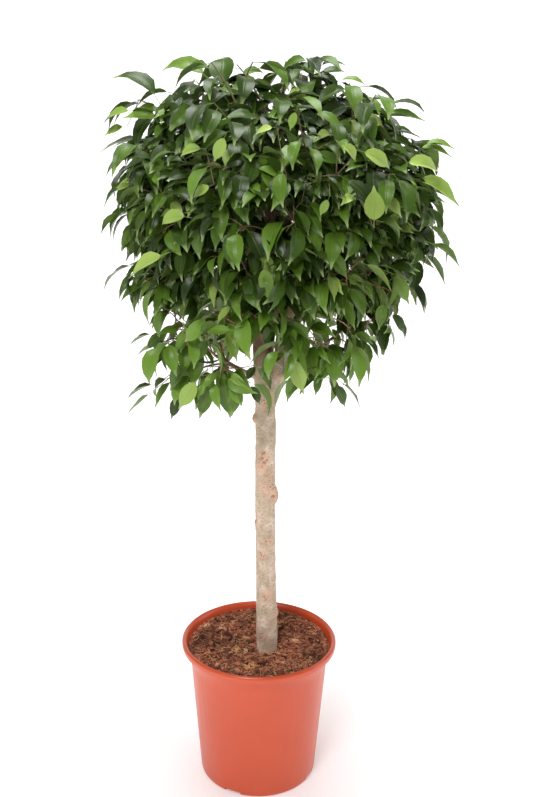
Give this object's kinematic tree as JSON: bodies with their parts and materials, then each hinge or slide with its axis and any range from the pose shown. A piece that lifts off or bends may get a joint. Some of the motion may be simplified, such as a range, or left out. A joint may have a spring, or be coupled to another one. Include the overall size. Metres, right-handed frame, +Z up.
{
  "type": "weeping fig standard tree in a nursery pot",
  "caption": "Weeping fig grown as a standard: a bare trunk carries a round head of glossy drooping leaves, in soil in a tapered terracotta-coloured nursery pot.",
  "frame": {"origin": "the middle of the pot's foot, on the surface that it stands on", "axes": "+Z up along the trunk, the longest way of the tree; -Y is the front, the side that the picture shows; +X is to its right"},
  "size_m": [0.4909, 0.5183, 1.0878],
  "materials": {
    "pot_plastic": "satin",
    "potting_soil": "matte",
    "trunk_bark": "matte",
    "leaf_green": "satin"
  },
  "bodies": {
    "root": {"pot": "pot_plastic", "soil": "potting_soil", "trunk": "trunk_bark", "shoot_1_1": "leaf_green", "shoot_1_2": "leaf_green", "shoot_1_3": "leaf_green", "shoot_1_4": "leaf_green", "shoot_2_1": "leaf_green", "shoot_2_2": "leaf_green", "shoot_2_3": "leaf_green", "shoot_2_4": "leaf_green", "shoot_2_5": "leaf_green", "shoot_2_6": "leaf_green", "shoot_2_7": "leaf_green", "shoot_2_8": "leaf_green", "shoot_3_1": "leaf_green", "shoot_3_10": "leaf_green", "shoot_3_2": "leaf_green", "shoot_3_3": "leaf_green", "shoot_3_4": "leaf_green", "shoot_3_5": "leaf_green", "shoot_3_6": "leaf_green", "shoot_3_7": "leaf_green", "shoot_3_8": "leaf_green", "shoot_3_9": "leaf_green", "shoot_4_1": "leaf_green", "shoot_4_10": "leaf_green", "shoot_4_11": "leaf_green", "shoot_4_2": "leaf_green", "shoot_4_3": "leaf_green", "shoot_4_4": "leaf_green", "shoot_4_5": "leaf_green", "shoot_4_6": "leaf_green", "shoot_4_7": "leaf_green", "shoot_4_8": "leaf_green", "shoot_4_9": "leaf_green", "shoot_5_1": "leaf_green", "shoot_5_10": "leaf_green", "shoot_5_2": "leaf_green", "shoot_5_3": "leaf_green", "shoot_5_4": "leaf_green", "shoot_5_5": "leaf_green", "shoot_5_6": "leaf_green", "shoot_5_7": "leaf_green", "shoot_5_8": "leaf_green", "shoot_5_9": "leaf_green", "shoot_6_1": "leaf_green", "shoot_6_2": "leaf_green", "shoot_6_3": "leaf_green", "shoot_6_4": "leaf_green", "shoot_6_5": "leaf_green", "shoot_6_6": "leaf_green", "shoot_6_7": "leaf_green", "shoot_7_1": "leaf_green", "shoot_7_2": "leaf_green", "shoot_7_3": "leaf_green", "shoot_7_4": "leaf_green"}
  },
  "joints": []
}
